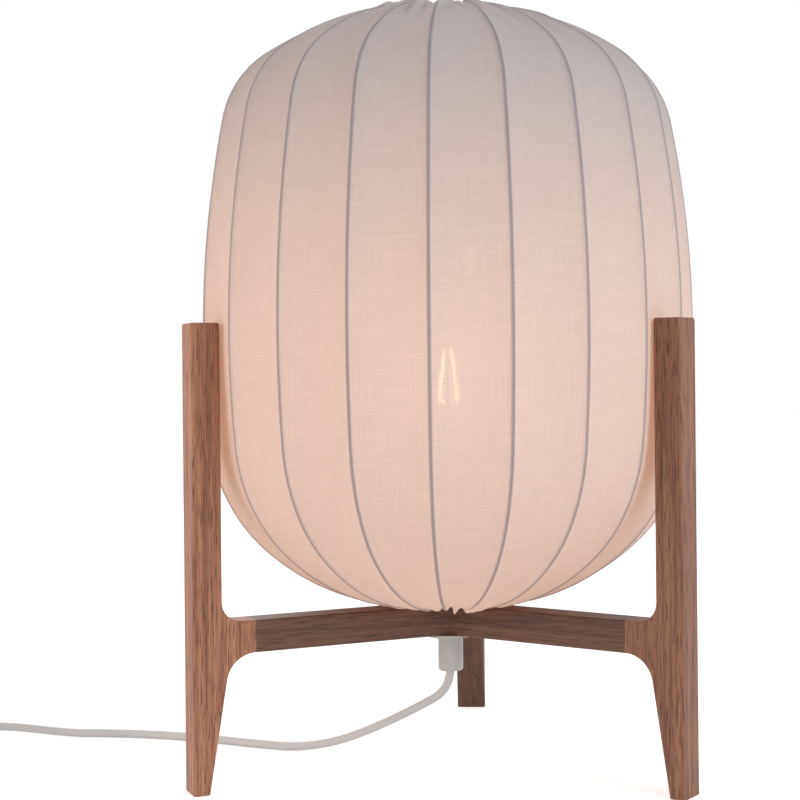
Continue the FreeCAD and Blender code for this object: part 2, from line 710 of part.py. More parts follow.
TO_SWITCH = [
    (0, 0, GRIP_MOUTH + 6.0), (0, 0, GRIP_MOUTH - 4.5), (-6.0, 0.9, 42.3), (-19.6, 3.2, 34.6),
    (-38.5, 6.5, 24.6), (-58.5, 10.9, 15.2), (-79, 15.2, 7.4), (-104.5, 20.8, RADIUS),
    (-132, 29.5, RADIUS), (-158, 39.8, RADIUS), (-184, 48.6, RADIUS), (-212, 55.4, RADIUS),
    (-242, 58.4, RADIUS), (-268, 57.6, RADIUS + 0.2), (-290, 55.6, 5.6), (-310, SWITCH_Y, SWITCH_Z),
    (SWITCH_X, SWITCH_Y, SWITCH_Z),
]
TO_COIL = [
    (SWITCH_FAR, SWITCH_Y, SWITCH_Z), (-401, SWITCH_Y, SWITCH_Z), (-413.6, 49.0, 6.2),
    (-423.2, 39.4, 4.2), (-428.3, 26.8, 3.0), (-430.2, 9.5, RADIUS), (COIL_SIDE, -4.0, RADIUS),
    (COIL_SIDE, COIL_Y + 2 * RADIUS, RADIUS),
]
HIGH = RADIUS + size("coil_rise")
TO_PLUG = [
    (COIL_SIDE, COIL_Y - 2 * RADIUS, HIGH), (COIL_SIDE, -34.0, HIGH), (-430.2, -49.5, 6.6),
    (-425.0, -62.6, 5.0), (-415.2, -72.6, 5.2), (-402.4, PLUG_AT.y, PLUG_AT.z),
    (PLUG_AT.x, PLUG_AT.y, PLUG_AT.z),
]


def flex_along(name, route):
    """A tube along straight runs joined by tangent arcs, as large as the runs allow."""
    spots = [V(*p) for p in route]
    edges, radii, at = [], [], spots[0]
    for before, corner, after in zip(spots, spots[1:], spots[2:]):
        back, on = (before - corner).normalize(), (after - corner).normalize()
        half = (math.pi - back.getAngle(on)) / 2
        reach = 0.45 * min((before - corner).Length, (after - corner).Length)
        radii.append(reach / math.tan(half))
        start, end = corner + back * reach, corner + on * reach
        toward = (back + on).normalize()
        centre = corner + toward * (radii[-1] / math.cos(half))
        middle = centre - toward * radii[-1]
        edges += [Part.LineSegment(at, start).toShape(), Part.Arc(start, middle, end).toShape()]
        at = end
    edges.append(Part.LineSegment(at, spots[-1]).toShape())
    path = Part.Wire(edges)
    tube = pipe(path, spots[0], spots[1] - spots[0])
    share = tube.Volume / (math.pi * RADIUS**2 * path.Length)
    print(f"{name}: {path.Length:.0f} mm, volume share {share:.4f}, radii",
          " ".join(f"{r:.0f}" for r in radii))
    return tube


def pipe(path, start, along):
    ring = Part.Wire(Part.makeCircle(RADIUS, start, along))
    return path.makePipeShell([ring], True, False)


def biarc(start, leaves, end, arrives):
    """Two arcs that leave start and reach end in the given directions."""
    chord = end - start
    both = leaves + arrives
    a, b, c = 2 * (1 - leaves.dot(arrives)), 2 * chord.dot(both), -chord.dot(chord)
    reach = -c / b if abs(a) < 1e-9 else (-b + math.sqrt(b * b - 4 * a * c)) / (2 * a)
    meet = (start + end + (leaves - arrives) * reach) * 0.5
    return [arc_from(start, leaves, meet), arc_from(end, arrives * -1, meet)]


def arc_from(start, along, end):
    chord = end - start
    across = chord - along * chord.dot(along)
    if across.Length < 1e-7:
        return Part.LineSegment(start, end).toShape()
    across.normalize()
    radius = chord.dot(chord) / (2 * chord.dot(across))
    centre = start + across * radius
    middle = centre + ((start + end) * 0.5 - centre).normalize() * radius
    return Part.Arc(start, middle, end).toShape()


def coil_spot(turn):
    """Centreline of the coil after so many turns: in on the floor, up a layer, out on top."""
    turns, step, outer = size("coil_turns"), size("coil_step"), size("coil_radius")
    inner = outer - step * turns
    climb = min(max((turn - turns) / 0.5, 0.0), 1.0)
    radius = outer - step * turn if turn < turns else inner
    if turn > turns + 0.5:
        radius = inner + step * (turn - turns - 0.5)
    radius -= size("coil_dip") * (1 - math.cos(2 * math.pi * climb)) / 2
    angle = math.pi + 2 * math.pi * turn
    height = RADIUS + size("coil_rise") * (1 - math.cos(math.pi * climb)) / 2
    return V(COIL_SIDE + outer + radius * math.cos(angle), COIL_Y + radius * math.sin(angle), height)


def coil():
    turns = size("coil_turns")
    stops = [k / 4 for k in range(round(4 * (2 * turns + 0.5)) + 1)]
    spots = [coil_spot(t) for t in stops]
    ways = []
    for t in stops:
        way = coil_spot(t + 0.001) - coil_spot(t - 0.001)
        ways.append(way.normalize())
    ways[0] = V(0, -1, 0)
    ways[-1] = V(0, -1, 0)
    lead = ways[0] * (-2 * RADIUS)
    edges = [Part.LineSegment(spots[0] + lead, spots[0]).toShape()]
    for i in range(len(stops) - 1):
        edges += biarc(spots[i], ways[i], spots[i + 1], ways[i + 1])
    edges.append(Part.LineSegment(spots[-1], spots[-1] + ways[-1] * 2 * RADIUS).toShape())
    path = Part.Wire(edges)
    tube = pipe(path, spots[0] + lead, ways[0])
    line = path.discretize(Distance=2.0)
    apart = 4 * RADIUS + 4
    least = min((p - q).Length for i, p in enumerate(line) for j, q in enumerate(line)
                if (j - i) * 2.0 > apart)
    print(f"coil: {path.Length:.0f} mm, volume share "
          f"{tube.Volume / (math.pi * RADIUS**2 * path.Length):.4f}, least gap {least - 2 * RADIUS:.2f} mm")
    return tube


solid("cord_to_switch", flex_along("cord_to_switch", TO_SWITCH))
solid("cord_to_coil", flex_along("cord_to_coil", TO_COIL))
solid("cord_coil", coil())
solid("cord_to_plug", flex_along("cord_to_plug", TO_PLUG))

# ---------------------------------------------------------------- switch on the cord
SWITCH_MID = SWITCH_X - size("switch_long") / 2
SWITCH_PLACE = FreeCAD.Placement(V(SWITCH_MID, SWITCH_Y, 0), FreeCAD.Rotation())
PIVOT = "(switch_tall - pivot_radius - 1.2)"


def block(label, long, wide, low, high):
    body = body_with(label)
    pad(body, "XY_Plane", [
        (f"-{long} / 2", f"-{wide} / 2"),
        (f"{long} / 2", f"-{wide} / 2"),
        (f"{long} / 2", f"{wide} / 2"),
        (f"-{long} / 2", f"{wide} / 2"),
    ], f"{high} - {low}", lift=low)
    return body


def hollow(body, long, wide, low, deep):
    """A rectangular recess, cut upward from a height."""
    sketch = sketch_on(body, "XY_Plane", low)
    draw(sketch, [
        (f"-({long}) / 2", f"-({wide}) / 2"),
        (f"({long}) / 2", f"-({wide}) / 2"),
        (f"({long}) / 2", f"({wide}) / 2"),
        (f"-({long}) / 2", f"({wide}) / 2"),
    ])
    DOC.recompute()
    before = body.Shape.Volume
    cut = body.newObject("PartDesign::Pocket", body.Name + "_hollow")
    cut.Profile = sketch
    cut.setExpression("Length", linked(deep))
    cut.Reversed = True
    DOC.recompute()
    if body.Shape.Volume >= before:
        raise RuntimeError(f"{body.Label}: its recess cuts nothing")


def upright(edge):
    return edge.BoundBox.ZLength > 0.9 * max(edge.BoundBox.XLength, edge.BoundBox.YLength, 1.0)


inner_long = "rocker_long + 2 * rocker_slack"
inner_wide = "rocker_wide + 2 * rocker_slack"
base = block("switch_base", "switch_long", "switch_wide", "0", "switch_split")
ease(base, "switch_wide / 4", upright)
hollow(base, inner_long, inner_wide, "switch_wall", "switch_split")
base.Placement = SWITCH_PLACE
cover_top = block("switch_cover", "switch_long", "switch_wide", "switch_split", "switch_tall")
ease(cover_top, "switch_wide / 4", upright)
ease(cover_top, "switch_wall", lambda edge: edge.BoundBox.ZMin > size("switch_tall") - 0.01, "rim")
hollow(cover_top, inner_long, inner_wide, "switch_split - 1", "switch_tall")
holes(cover_top, "XZ_Plane", [("0", PIVOT, "pivot_radius + pivot_slack")],
      "rocker_wide + 4 * pivot_radius + 2 * rocker_slack", "0", middle=True)
cover_top.Placement = SWITCH_PLACE

rocker = body_with("switch_rocker")
tip = "(rocker_long / 2)"
pad(rocker, "XZ_Plane", [
    (f"-{tip} + 3", f"{PIVOT} - 5"),
    (f"{tip} - 3", f"{PIVOT} - 5"),
    (tip, f"{PIVOT} - 1.5"),
    (tip, f"{PIVOT} + 1.2 + pivot_radius + rocker_proud"),
    ("0", f"{PIVOT} + 1.2 + pivot_radius + rocker_proud - {tip} * tan(rocker_tilt * 1 deg)"),
    (f"-{tip}", f"{PIVOT} + 1.2 + pivot_radius + rocker_proud"),
    (f"-{tip}", f"{PIVOT} - 1.5"),
], "rocker_wide", middle=True)
DOC.recompute()
pins = rocker.newObject("Sketcher::SketchObject", "rocker_pins_sketch")
pins.AttachmentSupport = [(next(f for f in rocker.Origin.OriginFeatures if f.Role == "XZ_Plane"), "")]
pins.MapMode = "FlatFace"
pins.addGeometry(Part.Circle(V(0, size(PIVOT), 0), V(0, 0, 1), size("pivot_radius")))
pins.addConstraint(Sketcher.Constraint("PointOnObject", 0, 3, -2))
pins.addConstraint(Sketcher.Constraint("Radius", 0, size("pivot_radius")))
pins.renameConstraint(1, "round")
pins.setExpression("Constraints.round", linked("pivot_radius"))
pins.addConstraint(Sketcher.Constraint("DistanceY", -1, 1, 0, 3, size(PIVOT)))
pins.renameConstraint(2, "rise")
pins.setExpression("Constraints.rise", linked(PIVOT))
pin_pad = rocker.newObject("PartDesign::Pad", "rocker_pins")
pin_pad.Profile = pins
pin_pad.setExpression("Length", linked("rocker_wide + 3 * pivot_radius + 2 * rocker_slack"))
pin_pad.SideType = "Symmetric"
hinge = V(0, 0, size(PIVOT))
tilted = FreeCAD.Placement(V(0, 0, 0), FreeCAD.Rotation(V(0, 1, 0), size("rocker_tilt")), hinge)
rocker.Placement = SWITCH_PLACE.multiply(tilted)

# ---------------------------------------------------------------- plug
RELIEF = size("relief_long")
PLUG_PLACE = FreeCAD.Placement(PLUG_AT, FreeCAD.Rotation())

relief = body_with("plug_relief")
sketch = sketch_on(relief, "XZ_Plane")
draw(sketch, [
    ("0", "0"),
    ("0", "cord_radius + 0.8"),
    ("relief_long", "cord_radius + 2.4"),
    ("relief_long", "0"),
])
turned = relief.newObject("PartDesign::Revolution", "plug_relief_turned")
turned.Profile = sketch
turned.ReferenceAxis = (sketch, ["H_Axis"])
turned.Angle = 360
relief.Placement = PLUG_PLACE

plug = body_with("plug_body")
pad(plug, "XY_Plane", [
    ("relief_long", "-plug_waist / 2"),
    ("relief_long + plug_long * 0.45", "-plug_waist / 2 - 1"),
    ("relief_long + plug_long * 0.8", "-plug_wide / 2"),
    ("relief_long + plug_long", "-plug_wide / 2"),
    ("relief_long + plug_long", "plug_wide / 2"),
    ("relief_long + plug_long * 0.8", "plug_wide / 2"),
    ("relief_long + plug_long * 0.45", "plug_waist / 2 + 1"),
    ("relief_long", "plug_waist / 2"),
], "plug_tall", middle=True)
ease(plug, "plug_round", lambda edge: edge.BoundBox.ZLength < 0.01)
plug.Placement = PLUG_PLACE

front = V(RELIEF + size("plug_long"), 0, 0)
prongs = []
for way in (-0.5, 0.5):
    foot = PLUG_AT + front + V(0, way * size("pin_pitch"), 0)
    prong = Part.makeCylinder(size("pin_radius"), size("pin_long - pin_radius"), foot, V(1, 0, 0))
    nose = Part.makeSphere(size("pin_radius"), foot + V(size("pin_long - pin_radius"), 0, 0))
    prongs.append(prong.fuse(nose).removeSplitter())
solid("plug_pins", Part.makeCompound(prongs))

# ---------------------------------------------------------------- check and write
DOC.recompute()
for thing in DOC.Objects:
    if "Invalid" in thing.State or "Error" in thing.State:
        raise RuntimeError(f"{thing.Label} failed: {thing.State}")
os.makedirs("parts", exist_ok=True)
for made in NODES:
    if made.Shape.isNull() or not made.Shape.isValid() or made.Shape.Volume <= 0:
        raise RuntimeError(f"{made.Label} is not a sound solid")
    placed = made.Shape.copy()
    placed.translate(V(0, -size("footprint_shift"), 0))
    placed.exportStep(f"parts/{made.Label}.step")
print(len(NODES), "nodes")
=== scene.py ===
"""Tripod table lamp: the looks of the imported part, with its camera, lights and floor."""
import math

import bpy
from bpy.props import FloatProperty, FloatVectorProperty, PointerProperty, StringProperty
from mathutils import Matrix, Vector, noise


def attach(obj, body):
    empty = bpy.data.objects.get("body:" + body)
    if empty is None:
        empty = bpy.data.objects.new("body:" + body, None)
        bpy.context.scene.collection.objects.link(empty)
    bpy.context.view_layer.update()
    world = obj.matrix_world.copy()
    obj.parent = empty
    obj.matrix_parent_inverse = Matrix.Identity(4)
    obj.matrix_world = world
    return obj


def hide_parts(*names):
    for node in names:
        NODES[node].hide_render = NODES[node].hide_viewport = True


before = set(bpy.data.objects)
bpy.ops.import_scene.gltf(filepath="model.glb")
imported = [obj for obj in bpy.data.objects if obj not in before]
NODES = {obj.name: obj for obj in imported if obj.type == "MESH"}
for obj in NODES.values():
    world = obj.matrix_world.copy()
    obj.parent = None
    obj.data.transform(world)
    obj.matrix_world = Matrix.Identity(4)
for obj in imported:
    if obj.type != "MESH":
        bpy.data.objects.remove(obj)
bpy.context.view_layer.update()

bl_info = {
    "name": "Tripod Table Lamp",
    "version": (1, 0, 0),
    "blender": (4, 5, 0),
    "location": "View3D > Sidebar > Lamp",
    "description": "Dresses the packed tripod table lamp in oak, cotton and moulded plastic",
    "category": "Object",
}

MM = 0.001
HUB = Vector((0, -0.0083, 0))  # the hub's axis in the frame
RIBS = 21
RIB_TURN = math.radians(270 + 1.5)  # the first rib, a little past the front
HALF_PANEL = math.pi / RIBS
GATHER_DEPTH = 0.0022


# ---------------------------------------------------------------- settings
class LampWood(bpy.types.PropertyGroup):
    light: StringProperty(name="Light grain", description="Stained oak between its pores", default="#a5745a")
    dark: StringProperty(name="Dark grain", description="Late growth and pores", default="#6b4434")


class LampCloth(bpy.types.PropertyGroup):
    cloth: StringProperty(name="Cotton", description="Colour of the cotton", default="#cfcaca")
    # the rib colour is painted shade, darker than the cotton, for the crease over each rib
    strip: StringProperty(name="Rib strip", description="Colour where a rib backs the cotton",
                          default="#aca5ab")
    glow: FloatProperty(name="Glow", description="Light that the cotton gives off near the bulb", default=0.30,
                        min=0.0)
    gather: FloatProperty(name="Gathers", description="Depth of the gathers at both rings",
                          default=GATHER_DEPTH, min=0.0, unit="LENGTH")
    bulb_watts: FloatProperty(name="Bulb", description="Power of the bulb", default=0.22, min=0.0, unit="POWER")


class LampStage(bpy.types.PropertyGroup):
    lens: FloatProperty(name="Lens", description="Focal length on a 36 mm sensor", default=72.0, unit="CAMERA")
    shift: FloatVectorProperty(name="Shift", description="Lens shift", size=2, default=(-0.111, -0.037))
    place: FloatVectorProperty(name="Camera", description="Where the camera stands", size=3,
                               default=(0.0941, -1.0323, 0.2501), subtype="TRANSLATION", unit="LENGTH")
    world: FloatProperty(name="Surround", description="Light from all round", default=0.47, min=0.0)
    key: FloatProperty(name="Key", description="Power of the large lamp at the right", default=11.0, min=0.0,
                       unit="POWER")


# ---------------------------------------------------------------- helpers
def colour(code):
    """A screen colour such as "#c8b090", as the linear colour that a shader takes."""
    shares = [int(code[i:i + 2], 16) / 255 for i in (1, 3, 5)]
    return (*[s / 12.92 if s <= 0.04045 else ((s + 0.055) / 1.055) ** 2.4 for s in shares], 1.0)


def add(tree, kind, links=None, stops=None, **settings):
    """A shader node with its settings; links maps inputs to sockets or values, stops fill a ramp."""
    made = tree.nodes.new(kind)
    for key, value in settings.items():
        setattr(made, key, value)
    for key, value in (links or {}).items():
        if isinstance(value, bpy.types.NodeSocket):
            tree.links.new(value, made.inputs[key])
        else:
            made.inputs[key].default_value = value
    if stops:
        band = made.color_ramp.elements
        while len(band) < len(stops):
            band.new(0.5)
        for element, (at, paint) in zip(band, stops):
            element.position = at
            element.color = colour(paint) if isinstance(paint, str) else (paint, paint, paint, 1.0)
    return made


def material(name, base, rough, metallic=0.0, ior=1.5):
    """A new material, its node tree and its principled shader."""
    made = bpy.data.materials.new(name)
    made.use_nodes = True
    shader = made.node_tree.nodes["Principled BSDF"]
    shader.inputs["Base Color"].default_value = colour(base)
    shader.inputs["Roughness"].default_value = rough
    shader.inputs["Metallic"].default_value = metallic
    if not metallic:
        shader.inputs["IOR"].default_value = ior
    return made, made.node_tree, shader


def paint_nodes(paint, *names):
    """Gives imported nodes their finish."""
    for name in names:
        slots = NODES[name].data.materials
        if not len(slots):
            slots.append(paint)
        for i in range(len(slots)):
            slots[i] = paint


def mesh_piece(name, verts, faces, paint, uvs=None):
    """A smooth mesh object in one finish, with the UVs of each face's corners if they are given."""
    data = bpy.data.meshes.new(name)
    data.from_pydata([tuple(v) for v in verts], [], faces)
    if uvs:
        layer = data.uv_layers.new(name="UVMap")
        for polygon, corners in zip(data.polygons, uvs):
            for loop, uv in zip(polygon.loop_indices, corners):
                layer.data[loop].uv = uv
    data.shade_smooth()
    data.materials.append(paint)
    made = bpy.data.objects.new(name, data)
    bpy.context.collection.objects.link(made)
    return made


# ---------------------------------------------------------------- oak
def stained_oak(name, along, across, painted_light_scale):
    """Walnut-stained oak, planed and lacquered matt: long fibres, short dark pores, soft colour bands.

    The grain runs along the stick. Its whole colour is then scaled lighter or darker, as painted light or
    painted shade for where the stick stands."""
    look = bpy.context.scene.lamp_wood
    made, tree, shader = material(name, look.light, 0.5)
    side = along.cross(across).normalized()
    angles = Matrix((across, side, along)).to_3x3().to_euler("XYZ")
    place = add(tree, "ShaderNodeTexCoord")
    grain = add(tree, "ShaderNodeMapping", {"Vector": place.outputs["Object"], "Rotation": angles},
                vector_type="POINT")
    # growth bands 3 mm apart, drawn out over 140 mm
    bands = add(tree, "ShaderNodeMapping", {"Vector": grain.outputs[0], "Scale": (330, 330, 7)})
    band = add(tree, "ShaderNodeTexNoise", {"Vector": bands.outputs[0], "Scale": 1.0, "Detail": 3.0,
                                            "Roughness": 0.6, "Distortion": 0.4})
    # pores 0.7 mm wide and 14 mm long, coarser than real so that they show
    pores = add(tree, "ShaderNodeMapping", {"Vector": grain.outputs[0], "Scale": (1500, 1500, 70)})
    pore = add(tree, "ShaderNodeTexNoise", {"Vector": pores.outputs[0], "Scale": 1.0, "Detail": 2.0,
                                            "Roughness": 0.5})
    tone = add(tree, "ShaderNodeValToRGB", {"Fac": band.outputs["Fac"]},
               stops=[(0.30, look.dark), (0.48, "#8f6049"), (0.70, look.light)])
    dots = add(tree, "ShaderNodeValToRGB", {"Fac": pore.outputs["Fac"]}, stops=[(0.36, 0.0), (0.47, 1.0)])
    mixed = add(tree, "ShaderNodeMix", {0: dots.outputs[0], 6: colour("#5f3b2c"), 7: tone.outputs[0]},
                data_type="RGBA")
    # painted light and shade: the wood's colour scaled lighter or darker for each stick
    painted_light_tone = add(tree, "ShaderNodeVectorMath", {0: mixed.outputs[2], "Scale": painted_light_scale}, operation="SCALE")
    tree.links.new(painted_light_tone.outputs[0], shader.inputs["Base Color"])
    bump = add(tree, "ShaderNodeBump", {"Height": dots.outputs[0], "Strength": 0.35, "Distance": 0.0002})
    tree.links.new(bump.outputs[0], shader.inputs["Normal"])
    return made


class LAMP_OT_frame(bpy.types.Operator):
    """Finish the three legs and three rails in stained oak, each with its grain along its length"""
    bl_idname = "lamp.frame"
    bl_label = "Oak frame"

    def execute(self, context):
        # where each leg stands round the hub, and how its leg and rail are scaled: painted light on the left
        # leg, painted shade on the rear leg and on the rails under the shade
        for side, angle, leg, rail in (("left", 210, 1.6, 0.55), ("right", 330, 1.05, 0.5),
                                       ("rear", 90, 0.4, 0.45)):
            out = Vector((math.cos(math.radians(angle)), math.sin(math.radians(angle)), 0))
            paint_nodes(stained_oak(f"stained_oak_leg_{side}", Vector((0, 0, 1)), out, leg), f"leg_{side}")
            paint_nodes(stained_oak(f"stained_oak_rail_{side}", out, Vector((0, 0, 1)), rail), f"rail_{side}")
        # turned beech: pale, with short flecks a millimetre long
        beech, tree, shader = material("turned_beech", "#c9a47c", 0.6)
        place = add(tree, "ShaderNodeTexCoord")
        fleck = add(tree, "ShaderNodeTexNoise", {"Vector": place.outputs["Object"], "Scale": 900.0})
        tone = add(tree, "ShaderNodeValToRGB", {"Fac": fleck.outputs["Fac"]},
                   stops=[(0.3, "#b58f68"), (0.7, "#cfab84")])
        tree.links.new(tone.outputs[0], shader.inputs["Base Color"])
        paint_nodes(beech, "joint_dowels")
        return {"FINISHED"}


# ---------------------------------------------------------------- shade
# the cover's outline in mm, as distances from the hub's axis and heights, and the radius of each arc between
KNOTS = [(33, 102.4), (123, 145.3), (151.8, 209.8), (142.3, 406), (116.3, 446), (48, 476)]
BENDS = [146.7, 105.5, 682, 63.7, 191.5]
HEM = 2.6  # radius of the hem round a ring wire
HEM_ROWS = 6
ROW = 2.4  # height of one row of faces
NEAR_RIB = [0.0, 0.9, 1.7, 2.3, 3.1, 4.4]  # columns of the mesh beside a rib, in mm from it
BETWEEN = 9  # and further columns between those
RIB_ROOM = 11  # a panel narrower than this has its columns squeezed
U_MM, V_MM = 40, 400  # mm to one unit of the cover's UV map, from the rib and up the rib


def arc(start, end, bend, step):
    """Points after start, up to end, on an arc of that radius which turns left."""
    a, b = Vector(start), Vector(end)
    chord = b - a
    left = Vector((-chord.y, chord.x)).normalized()
    centre = (a + b) / 2 + left * math.sqrt(bend * bend - chord.length_squared / 4)
    first = math.atan2(a.y - centre.y, a.x - centre.x)
    sweep = 2 * math.asin(chord.length / 2 / bend)
    count = max(2, round(bend * sweep / step))
    return [centre + Vector((math.cos(first + sweep * i / count), math.sin(first + sweep * i / count))) * bend
            for i in range(1, count + 1)]


def outline():
    """The cover's outline from the hem in the lower ring to the hem in the upper one, in mm."""
    line = [Vector(KNOTS[0])]
    for start, end, bend in zip(KNOTS, KNOTS[1:], BENDS):
        line += arc(start, end, bend, ROW)
    hems = []
    for end, near, ahead in ((line[0], line[1], -1), (line[-1], line[-2], 1)):
        along = (end - near).normalized() * ahead
        inward = Vector((-along.y, along.x))
        angles = [math.pi * i / HEM_ROWS for i in range(1, HEM_ROWS + 1)]
        hems.append([end + (inward * (1 - math.cos(angle)) + along * math.sin(angle) * ahead) * HEM
                     for angle in angles])
    return hems[0][::-1] + line + hems[1]


def lay_of_cloth(panel, share, angle, length, total):
    """How far the cloth stands off the flat panel, in mm, at a share of the panel's width."""
    bow = (2 * share - 1) ** 2
    across = 1 - bow ** 1.1
    # folds that run from each ring into the panel, deepest at the ring
    low = max(0.0, 1 - length / 55) ** 1.3
    high = max(0.0, 1 - (total - length) / 85)
    fold = noise.noise(Vector((panel * 3.7 + share * 3.0, length / 60, 4.2)))
    fine = noise.noise(Vector((panel * 9.1 + share * 6.5, length / 40, 9.7)))
    gather = (abs(fold) * 13.0 + abs(fine) * 4.0 - 3.4) * across * max(low, high)
    # the even slack of hand-sewn cloth
    slack = noise.noise(Vector((panel * 5.3 + share * 1.6, length / 60, 1.7))) * 0.8 * across
    # puckers round both hems, about 9 mm apart
    hem = max(0.0, 1 - min(total - length, length) / 20)
    pucker = (noise.noise(Vector((math.cos(angle) * 8, math.sin(angle) * 8, 3.1))) - 0.35) * 4.5 * hem
    # cloth that is stretched over curved ribs is drawn in between them
    sag = -2.6 * (1 - bow) * min(1.0, length / 60) * min(1.0, (total - length) / 90)
    return gather + slack + sag + pucker


class LAMP_OT_cover(bpy.types.Operator):
    """Make the cotton cover: panels stretched from rib to rib and gathered at both rings"""
    bl_idname = "lamp.cover"
    bl_label = "Shade cover"

    def execute(self, context):
        look = context.scene.lamp_cloth
        line = outline()
        steps = [0.0]
        for before, after in zip(line, line[1:]):
            steps.append(steps[-1] + (after - before).length)
        total = steps[-1]
        gathers = look.gather / GATHER_DEPTH
        verts, spots = [], []
        for row, (spot, length) in enumerate(zip(line, steps)):
            before, after = line[max(row - 1, 0)], line[min(row + 1, len(line) - 1)]
            way = (after - before).normalized()
            outward = Vector((way.y, -way.x))
            width = 2 * spot.x * math.sin(HALF_PANEL)
            apothem = spot.x * math.cos(HALF_PANEL)
            squeeze = min(1.0, width / RIB_ROOM)
            edge = [place * squeeze for place in NEAR_RIB]
            room = width - 2 * edge[-1]
            middle = [edge[-1] + room * i / (BETWEEN + 1) for i in range(1, BETWEEN + 1)]
            places = edge + middle + [width - place for place in edge[:0:-1]]
            for panel in range(RIBS):
                turn = RIB_TURN + HALF_PANEL * (2 * panel + 1)
                for place in places:
                    share = place / width
                    reach = min(place, width - place)
                    chord = (share - 0.5) * width
                    stand = lay_of_cloth(panel, share, turn + chord / spot.x, length, total)
                    # the rib lifts the cloth over it
                    ridge = 0.7 + 0.7 * max(0.0, 1 - (reach / squeeze / 2.0) ** 2)
                    lift = gathers * stand + ridge
                    flat = apothem + outward.x * lift
                    x = flat * math.cos(turn) - chord * math.sin(turn)
                    y = flat * math.sin(turn) + chord * math.cos(turn)
                    verts.append(Vector((x, y, spot.y + outward.y * lift)) * MM + HUB)
                    spots.append((reach / U_MM, length / V_MM))
        around = len(verts) // len(line)
        faces = [(row + i, row + (i + 1) % around, row + around + (i + 1) % around, row + around + i)
                 for row in range(0, len(verts) - around, around) for i in range(around)]
        uvs = [[spots[v] for v in face] for face in faces]
        cover = mesh_piece("cotton_cover", verts, faces, self.cotton(look), uvs)
        cloth = cover.modifiers.new("cloth", "SOLIDIFY")
        cloth.thickness, cloth.offset = 0.5 * MM, -1.0
        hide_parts("shade_cover")
        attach(cover, "lamp")
        return {"FINISHED"}

    def cotton(self, look):
        """Plain-woven slubbed cotton: matt, lets warm light through, and has a line of painted shade where it
        creases over each rib.
        """
        made, tree, shader = material("slubbed_cotton", look.cloth, 0.95, ior=1.45)
        place = add(tree, "ShaderNodeTexCoord")
        across = add(tree, "ShaderNodeSeparateXYZ", {"Vector": place.outputs["UV"]})
        # slubs in the weft: 18 mm long and 1.1 mm apart, coarser than the real thread so that they show
        weft = add(tree, "ShaderNodeMapping", {"Vector": place.outputs["Object"], "Scale": (55, 55, 900)})
        slub = add(tree, "ShaderNodeTexNoise", {"Vector": weft.outputs[0], "Scale": 1.0, "Detail": 3.0,
                                                "Roughness": 0.65})
        # warp threads along the ribs: 33 mm long and 0.7 mm apart, coarser than real so that they show
        warp = add(tree, "ShaderNodeMapping", {"Vector": place.outputs["UV"], "Scale": (60, 12, 1)})
        thread = add(tree, "ShaderNodeTexNoise", {"Vector": warp.outputs[0], "Scale": 1.0, "Detail": 3.0,
                                                  "Roughness": 0.6})
        weave = add(tree, "ShaderNodeMath", {0: slub.outputs["Fac"], 1: thread.outputs["Fac"]}, operation="ADD")
        shade = add(tree, "ShaderNodeMapRange", {"Value": weave.outputs[0], "From Min": 0.75, "From Max": 1.25,
                                                 "To Min": 0.95, "To Max": 1.04})
        # painted shade in the crease over each rib: full up to 0.4 mm from its middle, and fading out by 1.36
        # mm
        strip = add(tree, "ShaderNodeValToRGB", {"Fac": across.outputs["X"]},
                    stops=[(0.0, 1.0), (0.4 / U_MM, 1.0), (1.36 / U_MM, 0.0)])
        base = add(tree, "ShaderNodeMix", {0: strip.outputs[0], 6: colour(look.cloth), 7: colour(look.strip)},
                   data_type="RGBA")
        woven = add(tree, "ShaderNodeVectorMath", {0: base.outputs[2], "Scale": shade.outputs[0]},
                    operation="SCALE")
        tree.links.new(woven.outputs[0], shader.inputs["Base Color"])
        # the light that comes through: warm and strongest at the bulb's height, and cut by the ribs
        bulb = add(tree, "ShaderNodeVectorMath", {0: place.outputs["Object"], 1: (*HUB.xy, 0.24)},
                   operation="DISTANCE")
        warmth = add(tree, "ShaderNodeMapRange", {"Value": bulb.outputs["Value"], "From Min": 0.14,
                                                  "From Max": 0.25, "To Min": 1.0, "To Max": 0.12},
                     interpolation_type="SMOOTHSTEP")
        clear = add(tree, "ShaderNodeMath", {0: 1.0, 1: strip.outputs[0]}, operation="SUBTRACT")
        passed = add(tree, "ShaderNodeMath", {0: clear.outputs[0], 1: 0.75, 2: 0.25}, operation="MULTIPLY_ADD")
        near = add(tree, "ShaderNodeMath", {0: passed.outputs[0], 1: warmth.outputs[0]}, operation="MULTIPLY")
        sieved = add(tree, "ShaderNodeMath", {0: near.outputs[0], 1: shade.outputs[0]}, operation="MULTIPLY")
        power = add(tree, "ShaderNodeMath", {0: sieved.outputs[0], 1: look.glow}, operation="MULTIPLY")
        shader.inputs["Emission Color"].default_value = colour("#ffc29a")
        tree.links.new(power.outputs[0], shader.inputs["Emission Strength"])
        shader.inputs["Alpha"].default_value = 0.9
        shader.inputs["Transmission Weight"].default_value = 0.12
        bump = add(tree, "ShaderNodeBump", {"Height": weave.outputs[0], "Strength": 0.5, "Distance": 0.0004})
        tree.links.new(bump.outputs[0], shader.inputs["Normal"])
        return made


